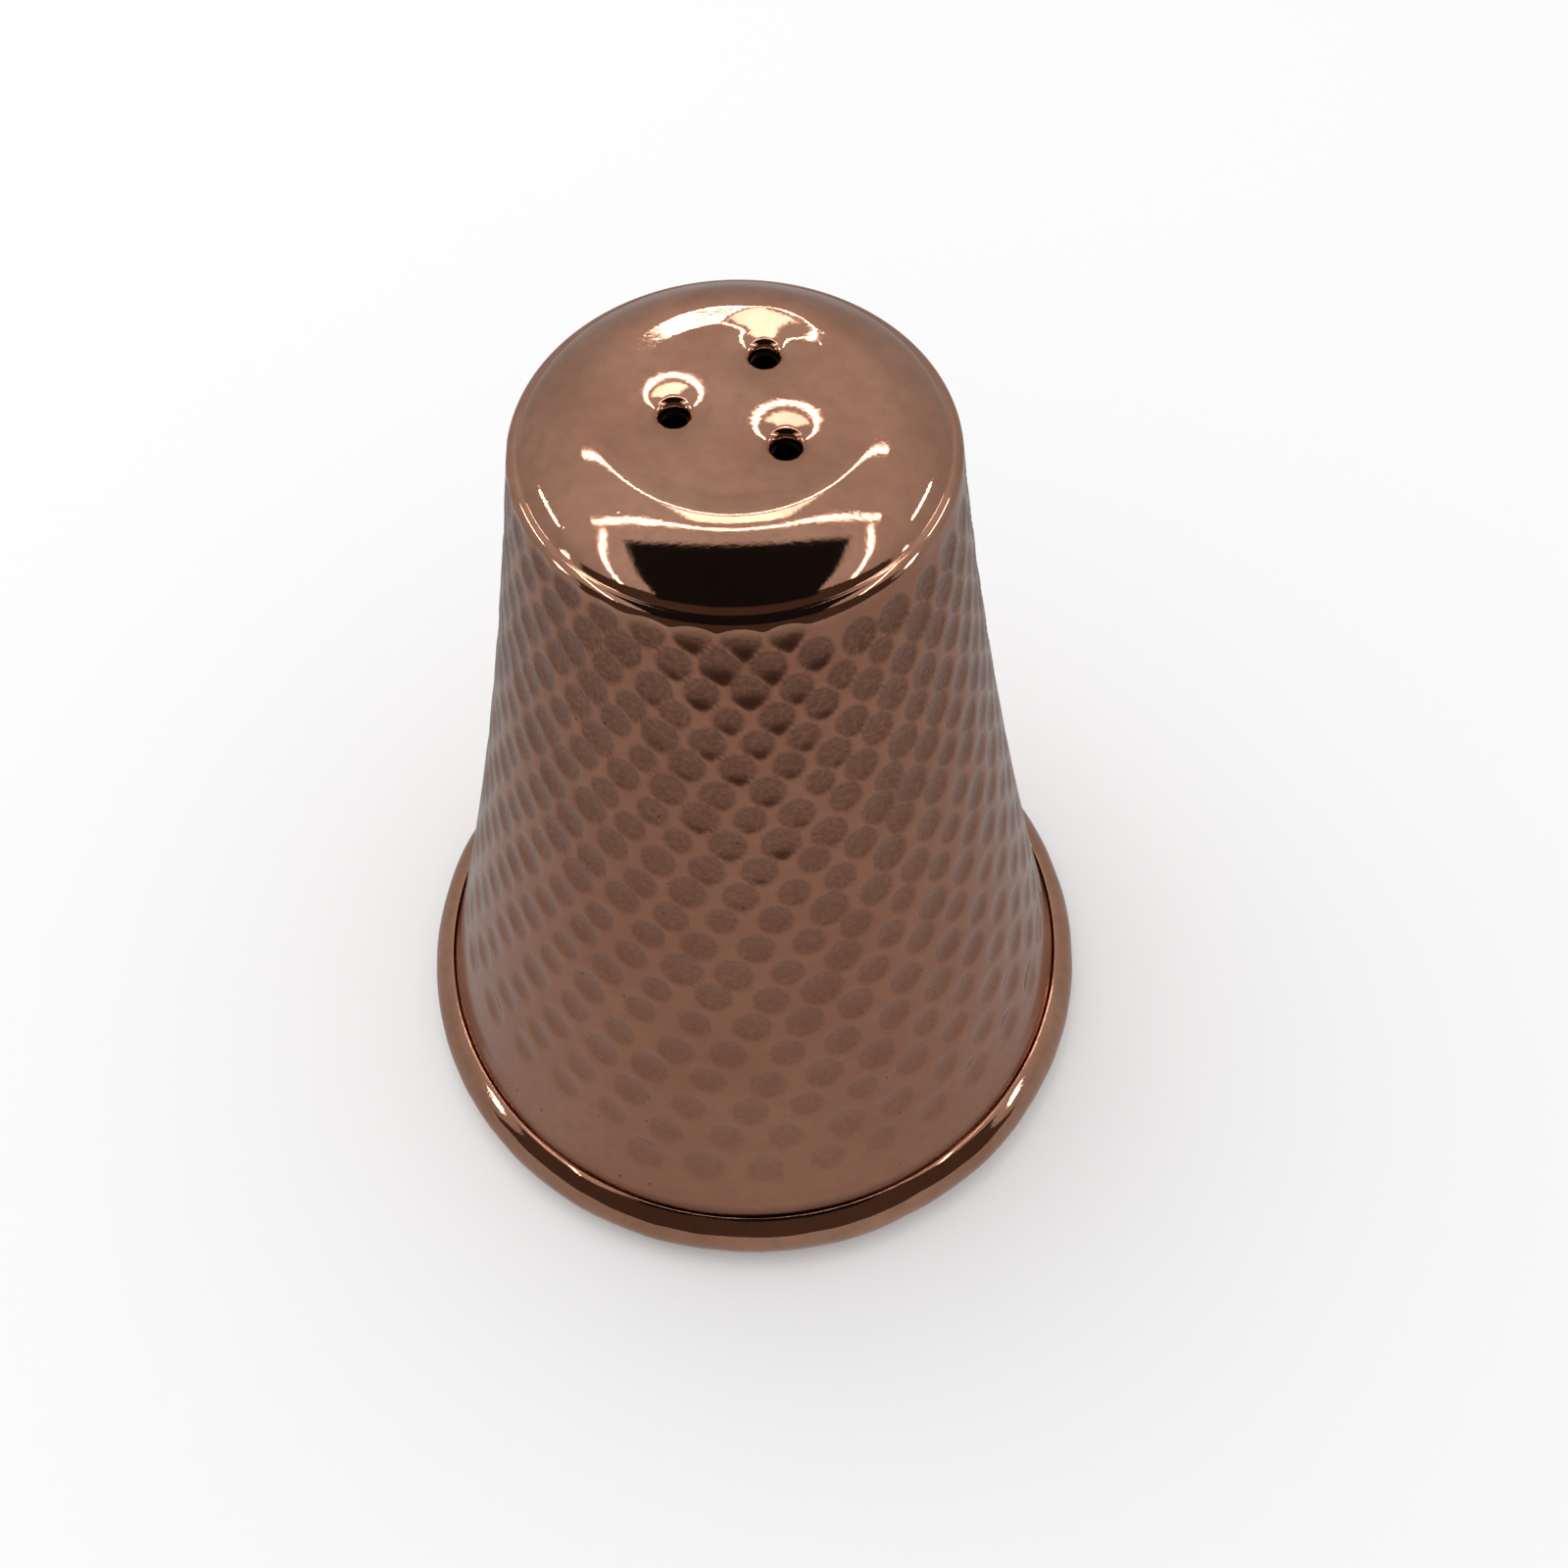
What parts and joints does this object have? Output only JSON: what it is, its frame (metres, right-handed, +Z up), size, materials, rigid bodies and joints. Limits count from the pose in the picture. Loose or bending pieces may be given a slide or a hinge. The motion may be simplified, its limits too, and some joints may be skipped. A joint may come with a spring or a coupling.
{
  "type": "table shaker",
  "caption": "Bell-shaped table shaker of hammered copper sheet with pouring holes in a recessed top, a rolled bead foot and a pull-out stopper under the base.",
  "frame": {"origin": "centre of the circle on which the bead stands, on the table plane", "axes": "+Z up along the axis of the bell; -Y is the side seen from the front, the pair of front pouring holes leaves one hole towards +Y"},
  "size_m": [0.0582, 0.0582, 0.0755],
  "materials": {
    "copper": "hammered and polished copper, tinned on the inside",
    "wire": "drawn steel wire",
    "tin": "run tin solder",
    "stopper": "matt moulded rubber"
  },
  "bodies": {
    "shaker": {"body_shell": "copper", "base_pan": "copper", "rim_wire": "wire", "solder_seam": "tin"},
    "stopper": {"filler_stopper": "stopper"}
  },
  "joints": [
    {"name": "stopper_pull", "type": "slide", "parent": "shaker", "child": "stopper", "axis": [0, 0, -1], "range_m": [0, 0.02]}
  ]
}
